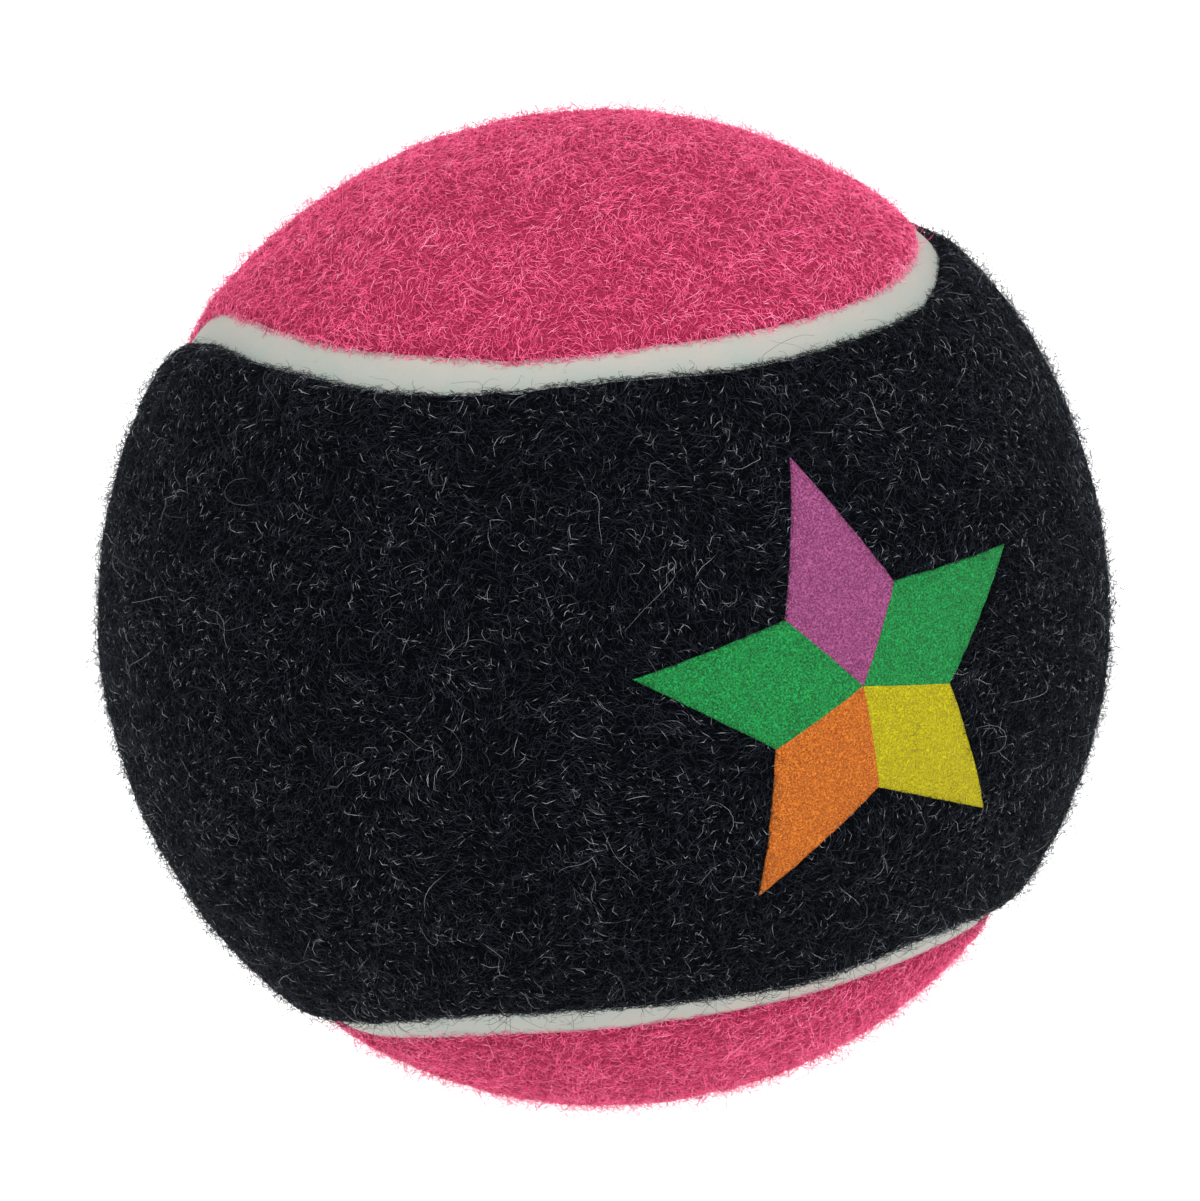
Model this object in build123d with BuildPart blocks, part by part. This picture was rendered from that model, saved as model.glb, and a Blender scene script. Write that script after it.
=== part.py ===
from build123d import *

# Felt-covered tennis ball: a hollow rubber core, two dumbbell-shaped felt panels and the rubber seam.
# The origin is the ball's centre. The seam goes once round the ball in four like bends, so the two
# panels have one shape. The navy panel's waist faces the front, along -Y, and the pink panel's two
# lobes face up and down.
import os
from math import cos, isclose, pi, radians, sin

# Core: two moulded half shells, cemented rim to rim. Millimetres, here and below.
core_diameter = 59.4
core_wall = 3.3
rim_cement_thickness = 0.2
rim_bead_radius = 0.6

# Cover: the felt and the cement that holds it to the core.
panel_cement_thickness = 0.2
felt_thickness = 3.1
felt_edge_radius = 1.1

# Seam: the rubber that fills the gap between the two panels.
seam_width = 2.2
seam_depth = 0.9  # from the face of the felt down to the top of the rubber
panel_waist_angle = 77.2  # across the narrow middle of a panel, in degrees at the ball's centre
seam_swing = 14.2  # how far the seam leans past its quarter points, in degrees
seam_points = 24
felt_to_seam_clearance = 0.02

# Printed star: five kites round the middle of the navy panel's waist.
star_radius = 14.0
star_notch_radius = 6.6
star_turn = 6.0  # degrees anticlockwise, seen from the front
ink_thickness = 0.1
ink_colours = ("purple", "green", "orange", "yellow", "green")  # anticlockwise from the top

core_radius = core_diameter / 2
core_hollow_radius = core_radius - core_wall
felt_inner_radius = core_radius + panel_cement_thickness
ball_radius = felt_inner_radius + felt_thickness
seam_radius = ball_radius - seam_depth
seam_half_angle = seam_width / 2 / seam_radius
felt_edge_angle = seam_half_angle + felt_to_seam_clearance / seam_radius
seam_latitude = pi / 2 - radians(panel_waist_angle) / 2
poles_along_y = (90, 0, 0)
past_the_surface = 1.0  # how far cutting walls and solids reach out of the ball, so that they cut all of it


def seam_direction(turn, aside):
    """The direction from the ball's centre to the seam, moved sideways along the ball by an angle."""

    def middle(turn):
        longitude = pi / 4 + turn - radians(seam_swing) * sin(4 * turn)
        latitude = seam_latitude * sin(2 * turn)
        return Vector(cos(latitude) * cos(longitude), -sin(latitude), cos(latitude) * sin(longitude))

    here = middle(turn)
    towards_pink = (middle(turn + 1e-4) - here).cross(here).normalized()
    return here * cos(aside) + towards_pink * sin(aside)


def seam_wall(aside):
    """A wall that runs once round the ball beside the seam, square to the ball's surface."""
    directions = [seam_direction(2 * pi * point / seam_points, aside) for point in range(seam_points)]
    rings = [
        Edge.make_spline([direction * radius for direction in directions], periodic=True)
        for radius in (core_hollow_radius, ball_radius + past_the_surface)
    ]
    return Face.make_surface_from_curves(*rings)


def star_kite(arm):
    """One fifth of the star: from its middle to the tip of an arm, between the notches at its sides."""
    at = 90 + star_turn + arm * 72
    corners = (0, 0), (star_notch_radius, at - 36), (star_radius, at), (star_notch_radius, at + 36)
    return [(radius * cos(radians(angle)), radius * sin(radians(angle))) for radius, angle in corners]


def save(piece, name):
    piece.label = name
    export_step(piece, f"parts/{name}.step")


os.makedirs("parts", exist_ok=True)
felt_edges = {"navy": seam_wall(-felt_edge_angle), "pink": seam_wall(felt_edge_angle)}

for name, rim_height, kept in (
    ("core_half_upper", rim_cement_thickness / 2, Keep.TOP),
    ("core_half_lower", -rim_cement_thickness / 2, Keep.BOTTOM),
):
    with BuildPart() as core_half:
        Sphere(core_radius)
        Sphere(core_hollow_radius, mode=Mode.SUBTRACT)
        split(bisect_by=Plane.XY.offset(rim_height), keep=kept)
    save(core_half.part, name)

# The cement between the rims, with the bead that is squeezed out into the hollow.
with BuildPart() as rim_bead:
    Torus(core_hollow_radius, rim_bead_radius)
    Sphere(core_hollow_radius, mode=Mode.INTERSECT)
with BuildPart() as rim_cement:
    Sphere(core_radius)
    Sphere(core_hollow_radius, mode=Mode.SUBTRACT)
    split(bisect_by=Plane.XY.offset(rim_cement_thickness / 2), keep=Keep.BOTTOM)
    split(bisect_by=Plane.XY.offset(-rim_cement_thickness / 2), keep=Keep.TOP)
    add(rim_bead.part)
save(rim_cement.part, "core_rim_cement")

# Each panel is what lies on its own side of the seam: navy to the front, pink to the back.
for colour, panel_side in (("navy", 0), ("pink", -1)):
    with BuildPart() as panel_cement:
        Sphere(felt_inner_radius, rotation=poles_along_y)
        Sphere(core_radius, rotation=poles_along_y, mode=Mode.SUBTRACT)
        split(bisect_by=felt_edges[colour], keep=Keep.ALL)
        add(panel_cement.solids().sort_by(Axis.Y)[panel_side], mode=Mode.REPLACE)
    save(panel_cement.part, f"{colour}_panel_cement")

    with BuildPart() as felt_panel:
        Sphere(ball_radius, rotation=poles_along_y)
        Sphere(felt_inner_radius, rotation=poles_along_y, mode=Mode.SUBTRACT)
        split(bisect_by=felt_edges[colour], keep=Keep.ALL)
        add(felt_panel.solids().sort_by(Axis.Y)[panel_side], mode=Mode.REPLACE)
        outer_edges = felt_panel.edges().filter_by(
            lambda edge: isclose((edge @ 0.5).length, ball_radius, abs_tol=1e-3)
        )
        fillet(outer_edges.filter_by(GeomType.BSPLINE), radius=min(felt_edge_radius, 0.9 * felt_thickness))
    save(felt_panel.part, f"{colour}_felt_panel")

with BuildPart() as seam:
    Sphere(seam_radius, rotation=poles_along_y)
    Sphere(core_radius, rotation=poles_along_y, mode=Mode.SUBTRACT)
    split(bisect_by=seam_wall(-seam_half_angle), keep=Keep.ALL)
    split(bisect_by=seam_wall(seam_half_angle), keep=Keep.ALL)
    add(seam.solids().sort_by(Axis.Y)[1], mode=Mode.REPLACE)
save(seam.part, "seam_rubber")

# The ink lies on the face of the felt, as thick as it soaks in, and each colour is one node.
for colour in sorted(set(ink_colours)):
    with BuildPart() as ink:
        with BuildSketch(Plane.XZ):
            for arm, arm_colour in enumerate(ink_colours):
                if arm_colour == colour:
                    with BuildLine():
                        Polyline(*star_kite(arm), close=True)
                    make_face()
        extrude(amount=ball_radius + past_the_surface)
        Sphere(ball_radius + ink_thickness, mode=Mode.INTERSECT)
        Sphere(ball_radius, mode=Mode.SUBTRACT)
    save(ink.part, f"star_ink_{colour}")
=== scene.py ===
"""Felt-covered tennis ball: rubber core, two napped felt panels, seam rubber and a printed star."""
import math

import bpy
import numpy as np
from mathutils import Matrix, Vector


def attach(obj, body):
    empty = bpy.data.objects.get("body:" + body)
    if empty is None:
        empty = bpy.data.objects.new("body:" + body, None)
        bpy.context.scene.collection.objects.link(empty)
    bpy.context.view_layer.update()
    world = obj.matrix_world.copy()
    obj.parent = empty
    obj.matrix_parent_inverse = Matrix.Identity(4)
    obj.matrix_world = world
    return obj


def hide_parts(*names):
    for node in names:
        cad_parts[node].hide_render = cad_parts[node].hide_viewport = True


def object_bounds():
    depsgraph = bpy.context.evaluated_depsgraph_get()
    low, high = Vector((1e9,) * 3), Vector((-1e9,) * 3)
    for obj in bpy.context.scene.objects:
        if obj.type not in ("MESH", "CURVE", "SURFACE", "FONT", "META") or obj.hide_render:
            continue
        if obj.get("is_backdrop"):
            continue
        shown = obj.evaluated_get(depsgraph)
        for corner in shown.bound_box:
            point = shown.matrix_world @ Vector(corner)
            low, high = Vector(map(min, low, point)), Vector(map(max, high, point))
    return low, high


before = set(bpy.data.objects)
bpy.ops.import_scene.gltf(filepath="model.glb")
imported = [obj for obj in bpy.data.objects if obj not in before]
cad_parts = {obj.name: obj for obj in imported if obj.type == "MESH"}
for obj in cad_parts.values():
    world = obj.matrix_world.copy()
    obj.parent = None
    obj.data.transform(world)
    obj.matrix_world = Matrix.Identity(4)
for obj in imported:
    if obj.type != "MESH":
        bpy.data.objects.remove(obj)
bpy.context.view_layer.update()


# Camera: a long lens, a little above the ball and to its left, leaning to the right.
# It stands on a tripod about four and a half ball widths from the ball's middle.
camera_distance = 0.297
camera_azimuth = math.radians(-26.5)
camera_elevation = math.radians(12.6)
camera_roll = math.radians(7.0)
aim_right = -0.000251
aim_up = 0.000482
lens_length = 134.9

back = np.array((
    math.sin(camera_azimuth) * math.cos(camera_elevation),
    -math.cos(camera_azimuth) * math.cos(camera_elevation),
    math.sin(camera_elevation),
))
level = np.cross((0.0, 0.0, 1.0), back)
level /= np.linalg.norm(level)
upright = np.cross(back, level)
camera_right = math.cos(camera_roll) * level - math.sin(camera_roll) * upright
camera_up = math.sin(camera_roll) * level + math.cos(camera_roll) * upright

camera_data = bpy.data.cameras.new("studio_camera")
camera_data.lens = lens_length
camera_data.clip_start = 0.01
camera_data.clip_end = 20.0
camera = bpy.data.objects.new("studio_camera", camera_data)
bpy.context.scene.collection.objects.link(camera)
camera.rotation_mode = "QUATERNION"
placed = np.eye(4)
placed[:3, 0] = camera_right
placed[:3, 1] = camera_up
placed[:3, 2] = back
placed[:3, 3] = back * camera_distance + camera_right * aim_right + camera_up * aim_up
camera.matrix_world = Matrix(placed.tolist())
bpy.context.scene.camera = camera


# Core halves: two cups of natural rubber filled with carbon and clay, moulded hot.
# The rubber is dark and matte, buffed all over so that the cement keys to it.
class Shade:
    """One output of a material's node. Sums and products of it add Math nodes."""

    def __init__(self, tree, socket=None):
        self.tree = tree
        self.socket = socket

    def node(self, kind, settings, sockets, output=0):
        """Adds a node: its settings first, then a value or a link for each named socket."""
        made = self.tree.nodes.new(kind)
        for name, value in settings.items():
            if name == "stops":
                ramp = made.color_ramp
                while len(ramp.elements) < len(value):
                    ramp.elements.new(0.5)
                for element, (place, colour) in zip(ramp.elements, value):
                    element.position = place
                    element.color = (*colour, 1.0)
            else:
                setattr(made, name, value)
        for name, value in sockets.items():
            socket = made.inputs[name]
            if isinstance(value, Shade):
                self.tree.links.new(value.socket, socket)
            elif socket.type == "RGBA":
                socket.default_value = (*value, 1.0)
            else:
                socket.default_value = value
        return Shade(self.tree, made.outputs[output] if made.outputs else None)

    def math(self, operation, first, second):
        return self.node("ShaderNodeMath", {"operation": operation}, {0: first, 1: second})

    def __add__(self, other):
        return self.math("ADD", self, other)

    __radd__ = __add__

    def __sub__(self, other):
        return self.math("SUBTRACT", self, other)

    def __rsub__(self, other):
        return self.math("SUBTRACT", other, self)

    def __mul__(self, other):
        return self.math("MULTIPLY", self, other)

    __rmul__ = __mul__

    def between(self, low, high):
        """0 at low and below, 1 at high and above."""
        return self.node(
            "ShaderNodeMapRange", {"clamp": True}, {"Value": self, "From Min": low, "From Max": high}
        )

    def mix(self, first, second):
        """From the first colour at 0 to the second colour at 1."""
        return self.node(
            "ShaderNodeMix", {"data_type": "RGBA"}, {0: self, 6: first, 7: second}, output=2
        )

    def noise(self, size, detail=2.0, distortion=0.0):
        """Noise whose lumps are about this many metres across."""
        return self.node(
            "ShaderNodeTexNoise",
            {},
            {"Vector": self, "Scale": 1.0 / size, "Detail": detail, "Distortion": distortion},
        )

    def streaks(self, turned):
        """Bright flecks like short fibres, which lie one way, given as a rotation."""
        length = 0.0006
        width = 0.00007
        along = self.node(
            "ShaderNodeMapping",
            {"vector_type": "TEXTURE"},
            {"Vector": self, "Rotation": turned, "Scale": (length, width, width)},
        )
        return along.node(
            "ShaderNodeTexNoise",
            {},
            {"Vector": along, "Scale": 1.0, "Detail": 2.0, "Distortion": 0.6},
        ).between(0.52, 0.70)

    def bump(self, height):
        """A normal from a height in metres."""
        return self.node("ShaderNodeBump", {}, {"Height": height, "Strength": 1.0, "Distance": 1.0})


def start_material(name):
    """A new material, and the object's own coordinates to draw its pattern with."""
    material = bpy.data.materials.new(name)
    material.use_nodes = True
    material.node_tree.nodes.clear()
    shade = Shade(material.node_tree)
    return material, shade.node("ShaderNodeTexCoord", {}, {}, output="Object")


def finish_material(place, sockets):
    shader = place.node("ShaderNodeBsdfPrincipled", {}, sockets)
    place.node("ShaderNodeOutputMaterial", {}, {"Surface": shader})


core_rubber, place = start_material("core_rubber")
buffing = place.noise(0.0004, 4.0, 1.5)
mottle = place.noise(0.006, 3.0)
finish_material(place, {
    "Base Color": (mottle * 0.7 + buffing * 0.3).mix((0.028, 0.023, 0.020), (0.075, 0.062, 0.052)),
    "Roughness": 0.62 + 0.3 * buffing,
    "Specular IOR Level": 0.3,
    "Normal": place.bump(buffing * 0.00006 + mottle * 0.00004),
})
for node in ("core_half_upper", "core_half_lower"):
    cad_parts[node].material_slots[0].material = core_rubber


# Cement: one film between the rims of the core halves, with the bead squeezed into the
# hollow, and one film under each felt panel. It is natural rubber solution, cured to amber.
cement, place = start_material("cement")
brushed = place.noise(0.0009, 3.0, 2.0)
pooled = place.noise(0.004, 2.0)
finish_material(place, {
    "Base Color": pooled.mix((0.34, 0.22, 0.09), (0.56, 0.42, 0.22)),
    "Roughness": 0.35 + 0.3 * brushed,
    "Specular IOR Level": 0.45,
    "Normal": place.bump(brushed * 0.00008),
})
for node in ("core_rim_cement", "navy_panel_cement", "pink_panel_cement"):
    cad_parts[node].material_slots[0].material = cement


# Felt panels: two dumbbell-shaped blanks of wool and nylon felt, stretched round the core
# and cemented down by hand, so the seam between them wavers. The cut edges roll over
# towards the seam, the face is lumpy, and the star is pressed into the navy panel.
ball_radius = 0.0330
felt_inner_radius = 0.0299
seam_radius = 0.0321
seam_width = 0.0022
panel_waist_angle = math.radians(77.2)
seam_latitude = math.pi / 2 - panel_waist_angle / 2
seam_swing = math.radians(14.2)
felt_edge_radius = 0.0011
felt_swell = 0.00012
felt_lump = 0.00006
star_tip_radius = 0.0140
star_notch_radius = 0.0066
star_turn = 6.0
pressed_radius = 0.03292
press_width = 0.0004
waver_height = 0.00085
waver_length = 0.017
waver_seed = 948
wander_length = 0.009
nick_depth = 0.00007
nick_length = 0.0014
edge_pull = 0.0035
felts = {
    "navy": {
        "side": -1.0,
        "radius": 0.03298,
        "cut": 0.00031,
        "wander": 0.00028,
        "path": 456,
        "seed": 11,
    },
    "pink": {
        "side": 1.0,
        "radius": 0.03242,
        "cut": -0.00034,
        "wander": -0.00028,
        "path": 1165,
        "seed": 12,
    },
}


def seam_middle(turn):
    """Directions from the ball's centre to the middle of the seam."""
    longitude = math.pi / 4 + turn - seam_swing * np.sin(4 * turn)
    latitude = seam_latitude * np.sin(2 * turn)
    return np.stack((
        np.cos(latitude) * np.cos(longitude),
        -np.sin(latitude),
        np.cos(latitude) * np.sin(longitude),
    ), axis=-1)


def unit(vectors):
    return vectors / np.linalg.norm(vectors, axis=-1, keepdims=True)


seam_turns = np.linspace(0.0, 2.0 * math.pi, 720, endpoint=False)
seam_line = seam_middle(seam_turns)
seam_side = unit(np.cross(seam_middle(seam_turns + 1e-4) - seam_line, seam_line))
seam_columns = np.ascontiguousarray(seam_line.T, dtype=np.float32)


def across_seam(directions):
    """Angle from the seam's middle, above 0 on the pink side, and the way towards pink."""
    near = np.empty(len(directions), dtype=int)
    for start in range(0, len(directions), 20000):
        some = directions[start:start + 20000].astype(np.float32)
        near[start:start + 20000] = np.argmax(some @ seam_columns, axis=1)
    towards_pink = seam_side[near]
    across = np.arcsin(np.clip(np.sum(directions * towards_pink, axis=1), -1.0, 1.0))
    return across, towards_pink


def lumps(directions, seed, size):
    """Soft random lumps about this size on the ball, mostly between -1 and 1."""
    count = 14
    waves = np.random.default_rng(seed)
    ways = unit(waves.normal(size=(count, 3))) * (math.pi * ball_radius / size)
    ways *= waves.uniform(0.6, 1.5, (count, 1))
    starts = waves.uniform(0.0, 2.0 * math.pi, count)
    return np.sin(directions @ ways.T + starts).sum(axis=1) * math.sqrt(0.5 / count)


def cut_edge(directions, felt):
    """How far the cut edge strays into the panel: both edges waver, and each wanders."""
    waver = waver_height * lumps(directions, waver_seed, waver_length)
    wander = felt["wander"] * lumps(directions, felt["path"], wander_length)
    nicks = nick_depth * lumps(directions, felt["seed"] + 30, nick_length)
    return felt["cut"] - felt["side"] * waver + wander + nicks


def star_depth(places):
    """How far inside the star's outline a place on the front of the ball is."""
    angle = np.degrees(np.arctan2(places[:, 2], places[:, 0])) - 90.0 - star_turn
    arm = np.radians(np.abs((angle + 36.0) % 72.0 - 36.0))
    reach = np.hypot(places[:, 0], places[:, 2])
    notch = math.radians(36.0)
    side_x = star_notch_radius * math.cos(notch) - star_tip_radius
    side_y = star_notch_radius * math.sin(notch)
    length = math.hypot(side_x, side_y)
    off_x = reach * np.cos(arm) - star_tip_radius
    off_y = reach * np.sin(arm)
    depth = (off_x * side_y - off_y * side_x) / length
    return np.where(places[:, 1] < 0.0, -depth, -1.0)


def felt_surface(directions, felt):
    """Radius of a felt panel's face, and how far in from its cut edge that is."""
    across, towards_pink = across_seam(directions)
    inside = felt["side"] * across * ball_radius - seam_width / 2 - cut_edge(directions, felt)
    rolled = np.clip(1.0 - inside / (1.3 * felt_edge_radius), 0.0, 1.0)
    top = felt["radius"] + felt_swell * lumps(directions, felt["seed"] + 40, 0.012)
    radius = top - (top - seam_radius + 0.0001) * (1.0 - np.sqrt(1.0 - rolled ** 2))
    wavy = 1.2 * lumps(directions, felt["seed"], 0.0022)
    wavy += 0.6 * lumps(directions, felt["seed"] + 50, 0.0009)
    radius += felt_lump * wavy * (1.0 - rolled)
    if felt["side"] < 0.0:
        pressed = np.clip(star_depth(directions * ball_radius) / press_width + 0.9, 0.0, 1.0)
        radius += pressed * (np.minimum(radius, pressed_radius) - radius)
    return radius, inside, towards_pink


def vertex_places(mesh):
    places = np.empty(len(mesh.vertices) * 3)
    mesh.vertices.foreach_get("co", places)
    return places.reshape(-1, 3)


# Felt base colours: the face colour, and a painted shade colour for the gaps between fibres.
felt_colours = {
    "navy": {
        "painted_pit_shade": (0.0004, 0.0006, 0.0012),
        "face": (0.0030, 0.0040, 0.0066),
        "gloss": 0.02,
    },
    "pink": {
        "painted_pit_shade": (0.20, 0.003, 0.022),
        "face": (0.62, 0.045, 0.140),
        "gloss": 0.15,
    },
}
for colour, felt in felts.items():
    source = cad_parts[colour + "_felt_panel"]
    panel = bpy.data.objects.new(colour + "_felt", source.data.copy())
    bpy.context.scene.collection.objects.link(panel)
    remesh = panel.modifiers.new("even_faces", "REMESH")
    remesh.mode = "VOXEL"
    remesh.voxel_size = 0.00045
    evened = bpy.data.meshes.new_from_object(
        panel.evaluated_get(bpy.context.evaluated_depsgraph_get())
    )
    panel.modifiers.clear()
    panel.data = evened
    panel.data.materials.clear()

    places = vertex_places(evened)
    radii = np.linalg.norm(places, axis=1)
    directions = places / radii[:, None]
    across, towards_pink = across_seam(directions)
    inside = felt["side"] * across * ball_radius - seam_width / 2
    beside = np.exp(-np.clip(inside, 0.0, 1.0) / edge_pull)
    stray = felt["side"] * beside * cut_edge(directions, felt) / ball_radius
    directions = unit(directions + stray[:, None] * towards_pink)
    wanted = felt_surface(directions, felt)[0]
    corner = np.clip(1.0 - inside / felt_edge_radius, 0.0, 1.0)
    had = ball_radius - felt_edge_radius * (1.0 - np.sqrt(1.0 - corner ** 2))
    share = np.clip((radii - felt_inner_radius) / (had - felt_inner_radius), 0.0, 1.0)
    moved = np.where(share > 0.1, felt_inner_radius + share * (wanted - felt_inner_radius), radii)
    evened.vertices.foreach_set("co", (directions * moved[:, None]).ravel())
    evened.polygons.foreach_set("use_smooth", np.ones(len(evened.polygons), dtype=bool))
    evened.update()

    material, place = start_material(colour + "_felt")
    tangle = place.noise(0.00025, 4.0, 2.0)
    wisps = place.math("MAXIMUM", place.streaks((0.4, 0.2, 1.1)), place.streaks((1.3, 0.9, 0.1)))
    wisps = place.math("MAXIMUM", wisps, place.streaks((0.2, 1.4, 2.3)))
    patches = place.noise(0.005, 2.0)
    # Painted shade: the colour goes from the face colour on the tops and wisps to the darker pit
    # colour in the gaps of the tangle.
    depth = tangle.between(0.3, 0.65) * 0.5 + wisps * 0.5
    finish_material(place, {
        "Base Color": (depth * (0.75 + 0.4 * patches)).mix(
            felt_colours[colour]["painted_pit_shade"], felt_colours[colour]["face"]
        ),
        "Roughness": 0.95 - 0.15 * depth,
        "Specular IOR Level": felt_colours[colour]["gloss"],
        "Normal": place.bump(tangle * 0.00020 + wisps * 0.00006),
    })
    panel.data.materials.append(material)
    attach(panel, "root")
    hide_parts(colour + "_felt_panel")


# Nap: the fibres that brushing and tumbling raise on the felt. Most lie curled in a mat,
# some stand off it, a few long ones fly loose, and short ones lean over the seam.
nap_shrink = 1
most_faces = 190000
glued_from = 0.00012
glued_radius = 0.03300
loose_over_star = 0.012
edge_depth = 0.0006
usual_tone = 0.45
pale_tone = 0.60
tone_spread = 0.16
glint_length = 0.2


def scattered_roots(felt, count, chance):
    """Random directions on one felt panel, the way in from its edge, and how far in they are."""
    roots = unit(chance.normal(size=(int(count * 2.2), 3)))
    inside, towards_pink = felt_surface(roots, felt)[1:]
    keep = inside > 0.0
    inwards = felt["side"] * towards_pink
    return roots[keep][:count], inwards[keep][:count], inside[keep][:count]


def ways_along(roots):
    """Two ways along the ball at each root, at right angles to each other."""
    helper = np.where(np.abs(roots[:, 2:3]) < 0.8, (0.0, 0.0, 1.0), (1.0, 0.0, 0.0))
    east = unit(np.cross(helper, roots))
    return east, np.cross(roots, east)


def fibre_points(felt, chance, roots, headings, lengths, steps, curl, heights, overhang):
    """Points along each fibre, which starts with its heading and curls, and how far they rise."""
    count = len(roots)
    overhang = np.repeat(overhang, steps + 1) * chance.uniform(0.4, 1.6, count * (steps + 1))
    along = np.linspace(0.0, 1.0, steps + 1)
    east, north = ways_along(roots)
    sway = chance.uniform(0.2, 0.8, (count, 1)) * np.sin(
        along[:-1] * chance.uniform(3.0, 9.0, (count, 1)) + chance.uniform(0.0, 6.3, (count, 1))
    )
    turned = headings[:, None] + curl * chance.normal(size=(count, 1)) * along[:-1] + sway
    step = (lengths / steps)[:, None]
    off_east = np.hstack((np.zeros((count, 1)), np.cumsum(np.cos(turned) * step, axis=1)))
    off_north = np.hstack((np.zeros((count, 1)), np.cumsum(np.sin(turned) * step, axis=1)))
    moved = off_east[..., None] * east[:, None] + off_north[..., None] * north[:, None]
    directions = unit(roots[:, None] + moved / ball_radius).reshape(-1, 3)
    root_height, hump, tip_height = (height[:, None] for height in heights)
    rise = (1.0 - along) * root_height + along * tip_height + 4.0 * along * (1.0 - along) * hump

    radius, inside, towards_pink = felt_surface(directions, felt)
    over = inside < 0.0
    held = overhang * (np.exp(np.minimum(inside, 0.0) / overhang) - 1.0)
    shift = np.where(over, held - inside, 0.0) / ball_radius
    directions = unit(directions + felt["side"] * shift[:, None] * towards_pink)
    places = directions * (radius + rise.ravel())[:, None]
    if felt["side"] < 0.0:
        over_star = star_depth(places) > glued_from
        loose = np.repeat(chance.random(count) < loose_over_star, steps + 1)
        flat = over_star & ~loose
        lowered = np.minimum(1.0, glued_radius / np.linalg.norm(places[flat], axis=1))
        places[flat] *= lowered[:, None]
    return places.reshape(count, steps + 1, 3), rise


def fibre_mesh(name, points, thickness, tones):
    """One mesh of three-sided tapered fibres, with a tone at every point."""
    count, rings = points.shape[:2]
    steps = rings - 1
    ahead = unit(np.gradient(points, axis=1) + 1e-12)
    outwards = unit(points)
    aside = unit(np.cross(ahead, outwards))
    upwards = np.cross(aside, ahead)
    taper = np.linspace(1.0, 0.55, rings)[None, :, None]
    corners = []
    for angle in (0.0, 2.0 * math.pi / 3, 4.0 * math.pi / 3):
        offset = math.cos(angle) * aside + math.sin(angle) * upwards
        corners.append(points + offset * taper * thickness[:, None, None])
    places = np.stack(corners, axis=2).reshape(-1, 3)

    quads = []
    quad_maps = []
    first_ring, last_ring = 0.12, 0.88
    for step in range(steps):
        for corner in range(3):
            following = (corner + 1) % 3
            quads.append((
                step * 3 + corner,
                step * 3 + 3 + corner,
                step * 3 + 3 + following,
                step * 3 + following,
            ))
            low = first_ring + 0.76 * step / steps
            high = first_ring + 0.76 * (step + 1) / steps
            left = 0.1 + 0.8 * corner / 3
            right = 0.1 + 0.8 * (corner + 1) / 3
            quad_maps.append(((low, left), (high, left), (high, right), (low, right)))
    caps = [(0, 1, 2), (steps * 3 + 2, steps * 3 + 1, steps * 3)]
    cap_maps = [
        ((0.02, 0.1), (first_ring, 0.1), (first_ring, 0.9)),
        ((0.98, 0.1), (last_ring, 0.9), (last_ring, 0.1)),
    ]
    first = np.arange(count)[:, None, None] * (rings * 3)
    quad_corners = (first + np.array(quads)[None]).reshape(-1)
    cap_corners = (first + np.array(caps)[None]).reshape(-1)
    quad_count, cap_count = count * len(quads), count * len(caps)

    mesh = bpy.data.meshes.new(name)
    mesh.vertices.add(len(places))
    mesh.vertices.foreach_set("co", places.ravel())
    mesh.loops.add(len(quad_corners) + len(cap_corners))
    mesh.loops.foreach_set("vertex_index", np.concatenate((quad_corners, cap_corners)))
    mesh.polygons.add(quad_count + cap_count)
    starts = np.concatenate((
        np.arange(quad_count) * 4,
        quad_count * 4 + np.arange(cap_count) * 3,
    ))
    mesh.polygons.foreach_set("loop_start", starts)

    cells = math.ceil(math.sqrt(count))
    cell = np.stack((np.arange(count) % cells, np.arange(count) // cells), axis=1)[:, None, None]
    placed = np.concatenate((
        ((cell + np.array(quad_maps)[None]) / cells).reshape(-1),
        ((cell + np.array(cap_maps)[None]) / cells).reshape(-1),
    ))
    mesh.uv_layers.new(name="OFBake").data.foreach_set("uv", placed)
    tone = mesh.attributes.new("tone", "FLOAT", "POINT")
    tone.data.foreach_set("value", np.repeat(tones.reshape(-1), 3))
    mesh.update()
    mesh.validate()
    return mesh


# Fibre colours along the tone: random darker and lighter fibres, with painted shade for low fibres
# towards the dark end and painted glints at the bright end.
nap_tones = {
    "navy": [
        (0.00, (0.0002, 0.0004, 0.0010)),
        (0.35, (0.0034, 0.0048, 0.0078)),
        (0.55, (0.0100, 0.0132, 0.0192)),
        (0.76, (0.0270, 0.0315, 0.0410)),
        (1.00, (0.3300, 0.3450, 0.3650)),
    ],
    "pink": [
        (0.00, (0.26, 0.006, 0.040)),
        (0.28, (0.50, 0.028, 0.108)),
        (0.50, (0.88, 0.092, 0.252)),
        (0.75, (1.00, 0.170, 0.360)),
        (1.00, (1.00, 0.420, 0.600)),
    ],
}
nap_gloss = {"navy": 0.07, "pink": 0.30}
# Share of each kind of fibre that gets a painted glint in its colour.
nap_glints = {"mat": 0.36, "fuzz": 0.09, "loose": 0.06, "edge": 0.40}
nap_kinds = {
    # how many, steps, shortest and longest, thinnest and thickest, how much they curl
    "mat": (108000, 2, (0.0004, 0.0011), (0.000016, 0.000026), 0.8),
    "fuzz": (25000, 3, (0.0005, 0.0018), (0.000012, 0.000018), 1.8),
    "loose": (1700, 9, (0.0018, 0.0050), (0.000009, 0.000015), 2.6),
    "edge": (7500, 2, (0.0004, 0.0012), (0.000013, 0.000022), 0.8),
}
nap_pieces = {"navy": [], "pink": []}
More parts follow.
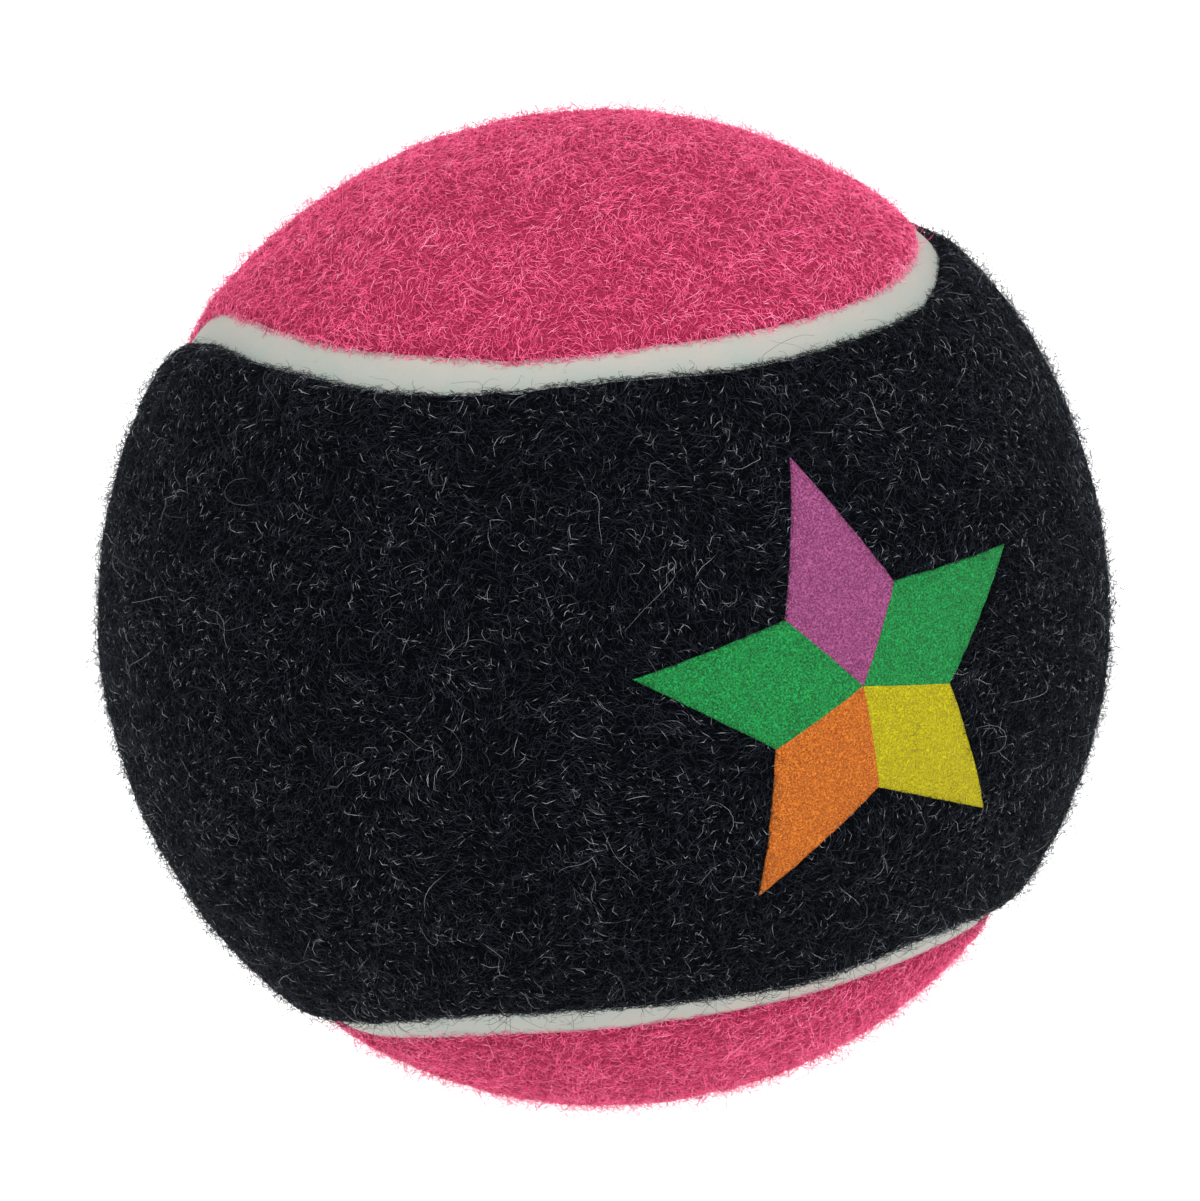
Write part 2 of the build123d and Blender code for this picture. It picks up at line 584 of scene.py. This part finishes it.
for colour, felt in felts.items():
    material, place = start_material(colour + "_nap")
    tone = place.node("ShaderNodeAttribute", {"attribute_name": "tone"}, {}, output="Fac")
    patches = place.noise(0.0045, 3.0)
    toned = place.node(
        "ShaderNodeValToRGB", {"stops": nap_tones[colour]}, {"Fac": tone + 0.3 * patches - 0.15}
    )
    finish_material(place, {
        "Base Color": toned,
        "Roughness": 0.6,
        "Specular IOR Level": nap_gloss[colour],
    })
    chance = np.random.default_rng(felt["seed"] * 100)
    for kind, (all_fibres, steps, length_range, thickness_range, curl) in nap_kinds.items():
        count = all_fibres // nap_shrink
        if kind == "edge":
            roots, inwards, inside = scattered_roots(felt, count * 14, chance)
            near = inside < edge_depth
            roots, inwards = roots[near][:count], inwards[near][:count]
        else:
            roots, inwards, inside = scattered_roots(felt, count, chance)
        count = len(roots)
        combed = 3.0 * lumps(roots, felt["seed"] + 60, 0.007)
        headings = combed + chance.normal(size=count) * 0.6
        headings += math.pi * chance.integers(0, 2, count)
        overhang = 0.00003 + chance.exponential(0.00018, count)
        lengths = chance.uniform(*length_range, count)
        thickness = chance.uniform(*thickness_range, count)
        if kind == "mat":
            heights = (
                chance.uniform(-0.00012, 0.00008, count),
                chance.uniform(0.00000, 0.00018, count),
                chance.uniform(-0.00008, 0.00020, count),
            )
        elif kind == "fuzz":
            heights = (
                np.full(count, -0.00004),
                chance.uniform(0.00005, 0.00035, count),
                chance.uniform(0.00005, 0.00035, count) + chance.exponential(0.00036, count),
            )
        elif kind == "loose":
            heights = (
                np.full(count, -0.00004),
                chance.uniform(0.0002, 0.0014, count),
                chance.uniform(0.0, 1.0, count) ** 2 * 0.0024,
            )
        else:
            east, north = ways_along(roots)
            headings = np.arctan2(-np.sum(inwards * north, axis=1), -np.sum(inwards * east, axis=1))
            headings += chance.normal(size=count) * 0.6
            overhang = 0.00005 + chance.exponential(0.00022, count)
            heights = (
                np.full(count, -0.00002),
                chance.uniform(0.00005, 0.00020, count),
                chance.uniform(0.00002, 0.00030, count),
            )
        points, rise = fibre_points(
            felt, chance, roots, headings, lengths, steps, curl, heights, overhang
        )
        bristles = kind == "edge" and colour == "pink"
        own_tone = chance.normal(pale_tone if bristles else usual_tone, tone_spread, (count, 1))
        # Painted highlight: some fibres get a brighter tone around one spot along them, a glint
        # painted into their colour.
        glinting = chance.random((count, 1)) < nap_glints[kind]
        from_glint = np.linspace(0.0, 1.0, steps + 1) - chance.random((count, 1))
        shine = np.exp(-(from_glint / glint_length) ** 2)
        glint = chance.uniform(0.2, 0.6, (count, 1)) * shine * glinting
        # Painted shade and light: fibres low in the mat or down the rolled edge get a darker tone,
        # fibres standing off it a slightly lighter one.
        painted_height_shade = np.clip((rise - 0.00010) / 0.0008, -0.25, 0.08)
        tones = np.clip(own_tone + glint + painted_height_shade, 0.0, 1.0)
        share = most_faces // (steps * 6 + 2)
        for number, start in enumerate(range(0, count, share), 1):
            name = f"{colour}_nap_{kind}_{number}"
            some = slice(start, start + share)
            mesh = fibre_mesh(name, points[some], thickness[some], tones[some])
            tuft = bpy.data.objects.new(name, mesh)
            bpy.context.scene.collection.objects.link(tuft)
            tuft.data.materials.append(material)
            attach(tuft, "root")
            nap_pieces[colour].append(tuft)


# Seam: the pale rubber that the cut edges of the felt were dipped in. It runs together in
# the mould, lies just under the face of the felt, and has slightly ragged edges.
seam_rows = 2400
seam_columns_across = 17
core_radius = 0.0297
seam_crown = 0.00006
seam_edge_drop = 0.00012
seam_ripple = 0.000018
seam_turn = np.linspace(0.0, 2.0 * math.pi, seam_rows, endpoint=False)
middle = seam_middle(seam_turn)
side = unit(np.cross(seam_middle(seam_turn + 1e-4) - middle, middle))
tucked_under = 0.0004
across = np.linspace(-1.0, 1.0, seam_columns_across)
half_width = seam_width / 2 + tucked_under + np.where(
    across[None] < 0.0,
    cut_edge(middle, felts["navy"])[:, None],
    cut_edge(middle, felts["pink"])[:, None],
)
angle = across[None] * half_width / seam_radius
directions = middle[:, None] * np.cos(angle)[..., None] + side[:, None] * np.sin(angle)[..., None]
ripple = lumps(directions.reshape(-1, 3), 81, 0.0016).reshape(angle.shape) * seam_ripple
top = seam_radius + seam_crown * (1.0 - across[None] ** 2)
top = top - seam_edge_drop * across[None] ** 8 + ripple
top_places = directions * top[..., None]
bottom_places = directions[:, [-1, 0]] * (core_radius + 0.00002)
ring = np.concatenate((top_places, bottom_places), axis=1)
ring_size = ring.shape[1]
rows, columns = np.meshgrid(np.arange(seam_rows), np.arange(ring_size), indexing="ij")
next_rows, next_columns = (rows + 1) % seam_rows, (columns + 1) % ring_size
seam_faces = np.stack((
    rows * ring_size + columns,
    rows * ring_size + next_columns,
    next_rows * ring_size + next_columns,
    next_rows * ring_size + columns,
), axis=-1).reshape(-1, 4)
seam_mesh = bpy.data.meshes.new("seam_band")
seam_mesh.from_pydata(ring.reshape(-1, 3).tolist(), [], seam_faces.tolist())
seam_mesh.polygons.foreach_set("use_smooth", np.ones(len(seam_faces), dtype=bool))
warmth = seam_mesh.attributes.new("warmth", "FLOAT", "POINT")
own_warmth = np.concatenate((across, (1.0, -1.0))) * 0.5 + 0.5
warmth.data.foreach_set("value", np.tile(own_warmth, seam_rows))
seam_mesh.update()
seam_band = bpy.data.objects.new("seam_band", seam_mesh)
bpy.context.scene.collection.objects.link(seam_band)

seam_rubber, place = start_material("seam_rubber")
warm = place.node("ShaderNodeAttribute", {"attribute_name": "warmth"}, {}, output="Fac")
cloudy = place.noise(0.0022, 3.0)
grain = place.noise(0.00018, 4.0)
specks = place.noise(0.0005, 2.0, 1.0).between(0.66, 0.74)
pale = (warm + 0.9 * cloudy - 0.45).mix((0.236, 0.272, 0.246), (0.318, 0.280, 0.252))
finish_material(place, {
    "Base Color": (specks * 0.35 + grain * 0.12).mix(pale, (0.19, 0.195, 0.18)),
    "Roughness": 0.62 + 0.2 * cloudy,
    "Specular IOR Level": 0.3,
    "Normal": place.bump(grain * 0.00002 + cloudy * 0.00006),
})
seam_band.data.materials.append(seam_rubber)
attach(seam_band, "root")
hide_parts("seam_rubber")


# Star: matte transfer inks pressed into the felt on the middle of the navy panel's waist,
# one colour for each arm. The ink glues the nap flat, so the face shows fine felt grain.
ink_face_radius = 0.03311
ink_back_radius = 0.03292
ink_edge_drop = 0.00009
ink_edge_round = 0.00010
ink_cells = 90
arms = ("purple", "green", "orange", "yellow", "green")
ink_colours = {
    "purple": ((0.095, 0.010, 0.055), (0.350, 0.085, 0.220)),
    "green": ((0.000, 0.050, 0.008), (0.010, 0.305, 0.066)),
    "orange": ((0.200, 0.036, 0.000), (0.620, 0.176, 0.018)),
    "yellow": ((0.190, 0.160, 0.000), (0.485, 0.425, 0.000)),
}


def ink_plate(arm):
    """Points and faces of one arm's closed thin plate, which follows the felt's face."""
    at = 90.0 + star_turn + arm * 72.0
    corners = []
    for radius, turn in (
        (0.0, 0.0),
        (star_notch_radius, -36.0),
        (star_tip_radius, 0.0),
        (star_notch_radius, 36.0),
    ):
        facing = math.radians(at + turn)
        corners.append((radius * math.cos(facing), radius * math.sin(facing)))
    corners = np.array(corners)
    first, second = np.meshgrid(*(np.linspace(0.0, 1.0, ink_cells + 1),) * 2, indexing="ij")
    first, second = first.ravel()[:, None], second.ravel()[:, None]
    flat = (
        (1 - first) * (1 - second) * corners[0] + first * (1 - second) * corners[1]
        + first * second * corners[2] + (1 - first) * second * corners[3]
    )
    forward = -np.sqrt(ink_face_radius ** 2 - (flat ** 2).sum(axis=1))
    outer = np.stack((flat[:, 0], forward, flat[:, 1]), axis=1)
    directions = unit(outer)
    depth = star_depth(outer)
    ragged = 0.00004 * lumps(directions, 91, 0.0005) + 0.00003 * lumps(directions, 92, 0.0012)
    push = np.exp(-np.clip(depth, 0.0, 1.0) / 0.0002) * ragged
    flat_out = unit(np.stack((flat[:, 0], np.zeros(len(flat)), flat[:, 1]), axis=1) + 1e-12)
    directions = unit(directions + flat_out * (push / ball_radius)[:, None])
    face = ink_face_radius + 0.000035 * lumps(directions, 93, 0.0006)
    face += 0.00003 * lumps(directions, 94, 0.002)
    face -= ink_edge_drop * np.exp(-np.clip(depth, 0.0, 1.0) / ink_edge_round)
    return directions * face[:, None], directions * ink_back_radius


size = ink_cells + 1
cell_rows, cell_columns = np.meshgrid(np.arange(ink_cells), np.arange(ink_cells), indexing="ij")
low = (cell_rows * size + cell_columns).ravel()
face_quads = np.stack((low, low + size, low + size + 1, low + 1), axis=1)
back_quads = face_quads[:, ::-1] + size * size
rim = np.concatenate((
    np.arange(ink_cells),
    np.arange(ink_cells) * size + ink_cells,
    size * size - 1 - np.arange(ink_cells),
    (ink_cells - np.arange(ink_cells)) * size,
))
following = np.roll(rim, -1)
rim_quads = np.stack((rim, following, following + size * size, rim + size * size), axis=1)
plate_faces = np.concatenate((face_quads, back_quads, rim_quads))
for colour, (shadow, light) in ink_colours.items():
    places, faces = [], []
    for arm, arm_colour in enumerate(arms):
        if arm_colour == colour:
            front, behind = ink_plate(arm)
            faces.append(plate_faces + sum(len(part) for part in places))
            places += [front, behind]
    mesh = bpy.data.meshes.new("star_" + colour)
    mesh.from_pydata(np.concatenate(places).tolist(), [], np.concatenate(faces).tolist())
    mesh.polygons.foreach_set("use_smooth", np.ones(len(mesh.polygons), dtype=bool))
    mesh.update()
    plate = bpy.data.objects.new("star_" + colour, mesh)
    bpy.context.scene.collection.objects.link(plate)
    ink, place = start_material("ink_" + colour)
    felt_grain = place.noise(0.00012, 3.0, 0.3).between(0.38, 0.62)
    strands = place.math("MAXIMUM", place.streaks((0.9, 0.1, 0.6)), place.streaks((0.2, 0.5, 2.0)))
    worn = place.noise(0.0009, 3.0)
    finish_material(place, {
        "Base Color": (felt_grain * 0.6 + strands * 0.4 + worn * 0.2 - 0.1).mix(shadow, light),
        "Roughness": 0.75 + 0.2 * felt_grain,
        "Specular IOR Level": 0.2,
        "Normal": place.bump(felt_grain * 0.00006),
    })
    plate.data.materials.append(ink)
    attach(plate, "root")
    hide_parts("star_ink_" + colour)


# Studio: a white table lit from within, white surroundings, and two large soft lamps.
# The table is wide, so that it meets the surroundings far behind the ball.
floor_radius = 3.0
floor_rim = [
    (floor_radius * math.cos(turn), floor_radius * math.sin(turn), -ball_radius)
    for turn in np.linspace(0.0, 2.0 * math.pi, 96, endpoint=False)
]
floor_mesh = bpy.data.meshes.new("studio_floor")
floor_mesh.from_pydata(floor_rim, [], [list(range(len(floor_rim)))])
floor = bpy.data.objects.new("studio_floor", floor_mesh)
bpy.context.scene.collection.objects.link(floor)
table_top, place = start_material("studio_floor")
haze = place.noise(0.4, 2.0)
finish_material(place, {
    "Base Color": haze.mix((0.36, 0.36, 0.36), (0.40, 0.40, 0.40)),
    "Roughness": 0.9,
    "Specular IOR Level": 0.0,
    "Emission Color": (1.0, 1.0, 1.0),
    "Emission Strength": 1.40,
})
floor.data.materials.append(table_top)
floor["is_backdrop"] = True

world = bpy.data.worlds.new("studio")
world.use_nodes = True
world.node_tree.nodes["Background"].inputs["Color"].default_value = (1.0, 1.0, 1.0, 1.0)
world.node_tree.nodes["Background"].inputs["Strength"].default_value = 1.0
bpy.context.scene.world = world

lamps = (
    # name, azimuth, elevation, distance, width, watts
    ("key_lamp", -45.0, 62.0, 0.8, 0.5, 5.0),
    ("fill_lamp", 25.0, 25.0, 0.9, 0.6, 2.9),
)
for name, azimuth, elevation, distance, width, watts in lamps:
    lamp_data = bpy.data.lights.new(name, "AREA")
    lamp_data.shape = "DISK"
    lamp_data.size = width
    lamp_data.energy = watts
    lamp = bpy.data.objects.new(name, lamp_data)
    bpy.context.scene.collection.objects.link(lamp)
    turn, rise = math.radians(azimuth), math.radians(elevation)
    towards = np.array((
        math.sin(turn) * math.cos(rise), -math.cos(turn) * math.cos(rise), math.sin(rise),
    ))
    sideways = unit(np.cross((0.0, 0.0, 1.0), towards))
    placed = np.eye(4)
    placed[:3, 0] = sideways
    placed[:3, 1] = np.cross(towards, sideways)
    placed[:3, 2] = towards
    placed[:3, 3] = towards * distance
    lamp.matrix_world = Matrix(placed.tolist())

bpy.context.scene.view_settings.view_transform = "Standard"

low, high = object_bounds()
